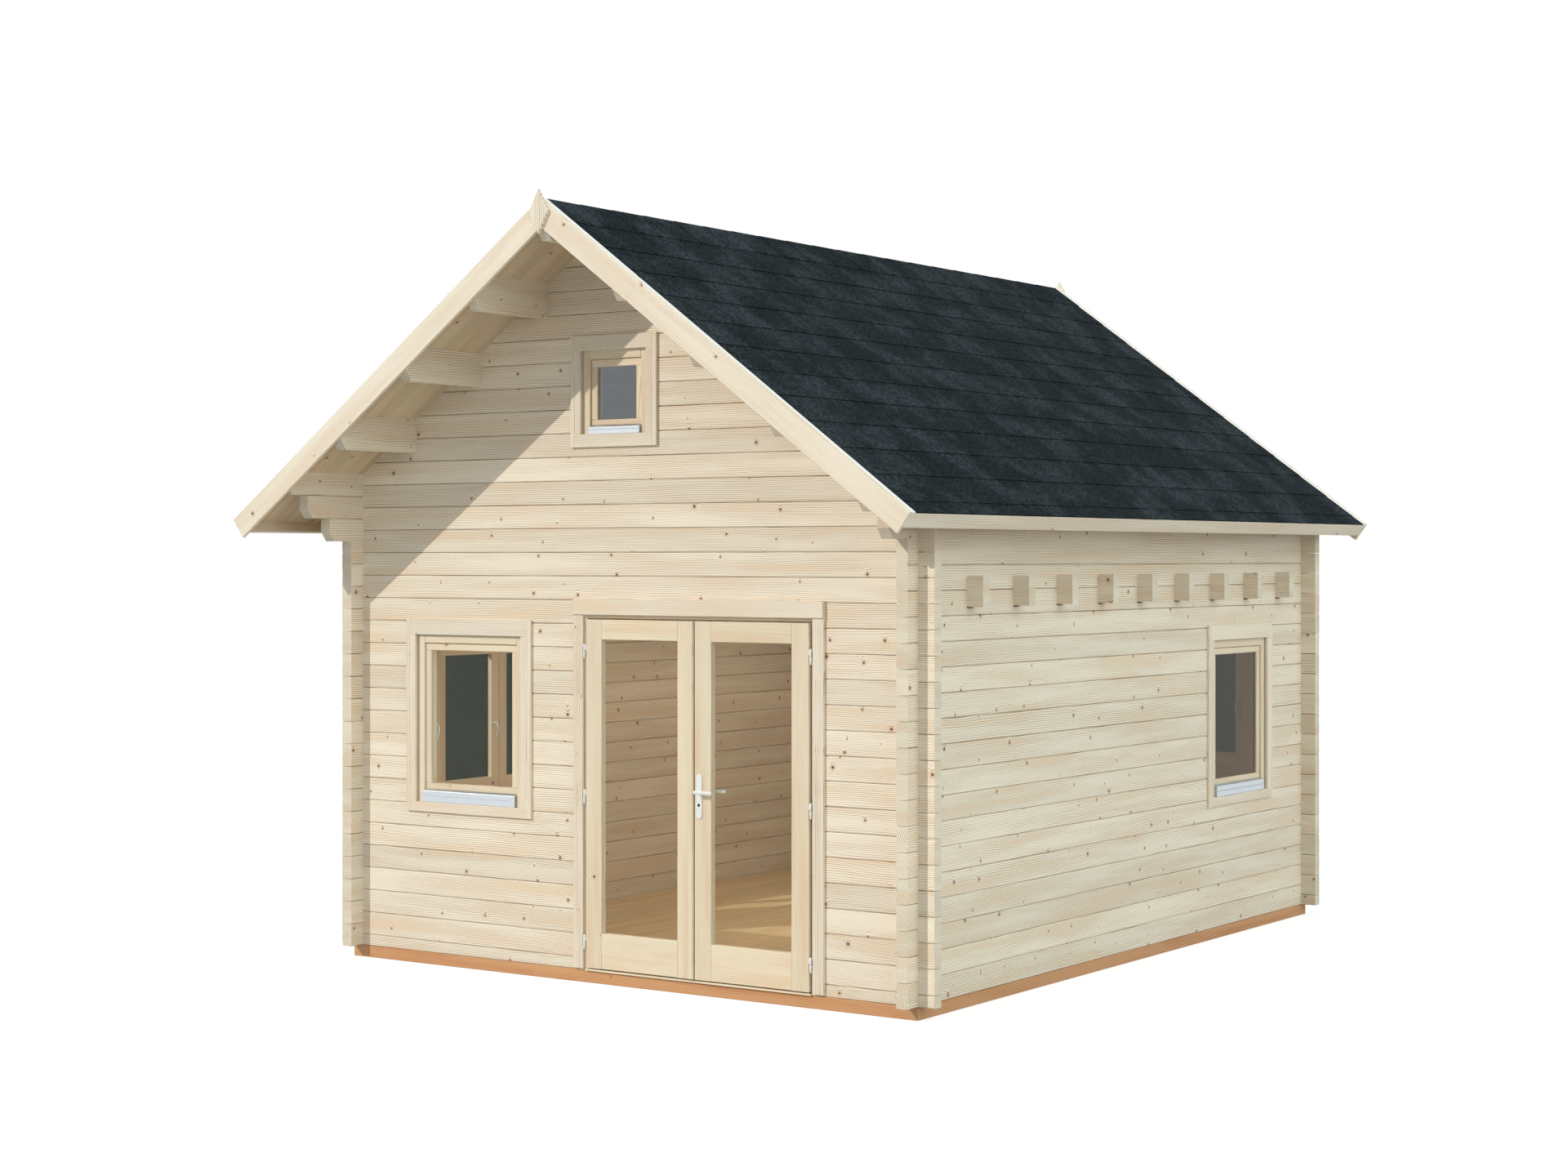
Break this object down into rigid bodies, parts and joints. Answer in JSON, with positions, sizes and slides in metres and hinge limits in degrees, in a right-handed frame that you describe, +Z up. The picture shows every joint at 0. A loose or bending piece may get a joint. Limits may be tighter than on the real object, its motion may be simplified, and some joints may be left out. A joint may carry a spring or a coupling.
{
  "type": "log garden house",
  "caption": "Garden house of interlocking logs with a steep shingled roof over a projecting front, a glazed double door that opens, and small windows.",
  "frame": {"origin": "on the ground, midway between the side walls and midway between the gable ends", "axes": "+X to the right seen from the front, +Y from the door to the back wall along the ridge, +Z up"},
  "size_m": [4.6974, 5.892, 4.393],
  "materials": {
    "spruce": "bare planed spruce logs",
    "trim_timber": "bare planed boards",
    "joinery": "bare sanded joinery",
    "floor_timber": "bare floor boards",
    "treated_timber": "brown impregnated",
    "shingle": "gritted bitumen",
    "glass": "clear",
    "drip_metal": "satin anodised",
    "white_metal": "white gloss"
  },
  "bodies": {
    "house": {"foundation_front": "treated_timber", "foundation_back": "treated_timber", "foundation_left": "treated_timber", "foundation_right": "treated_timber", "floor_joists": "treated_timber", "floor_boards": "floor_timber", "front_wall_left": "spruce", "front_wall_right": "spruce", "front_gable": "spruce", "back_wall": "spruce", "left_wall": "spruce", "right_wall": "spruce", "loft_joists": "spruce", "loft_floor": "floor_timber", "ridge_beam": "spruce", "purlins": "spruce", "left_roof_boards": "spruce", "right_roof_boards": "spruce", "left_shingles": "shingle", "right_shingles": "shingle", "ridge_cap": "shingle", "front_left_bargeboard": "trim_timber", "front_right_bargeboard": "trim_timber", "back_left_bargeboard": "trim_timber", "back_right_bargeboard": "trim_timber", "fascias": "trim_timber", "front_finial": "trim_timber", "back_finial": "trim_timber", "front_window_frame": "joinery", "right_window_frame": "joinery", "left_window_frame": "joinery", "back_window_frame": "joinery", "gable_window_frame": "joinery", "window_casings": "trim_timber", "window_glass": "glass", "window_drips": "drip_metal", "door_frame": "joinery", "door_casing": "trim_timber", "frame_hinges": "white_metal"},
    "left_leaf": {"left_door": "joinery", "left_door_glass": "glass", "left_door_hinges": "white_metal"},
    "right_leaf": {"right_door": "joinery", "right_door_glass": "glass", "right_door_hinges": "white_metal", "handle_plates": "white_metal"},
    "lever": {"door_lever": "white_metal"}
  },
  "joints": [
    {"name": "left_door_swing", "type": "hinge", "parent": "house", "child": "left_leaf", "pos_m": [-0.2032, -2.292, 0.07], "axis": [0, 0, -1], "range_deg": [0, 110]},
    {"name": "right_door_swing", "type": "hinge", "parent": "house", "child": "right_leaf", "pos_m": [1.3368, -2.292, 0.07], "axis": [0, 0, 1], "range_deg": [0, 110]},
    {"name": "lever_turn", "type": "hinge", "parent": "right_leaf", "child": "lever", "pos_m": [0.6043, -2.292, 1.12], "axis": [0, 1, 0], "range_deg": [0, 40], "stiffness_Nm_per_rad": 1.2, "springref_deg": -28.65}
  ]
}
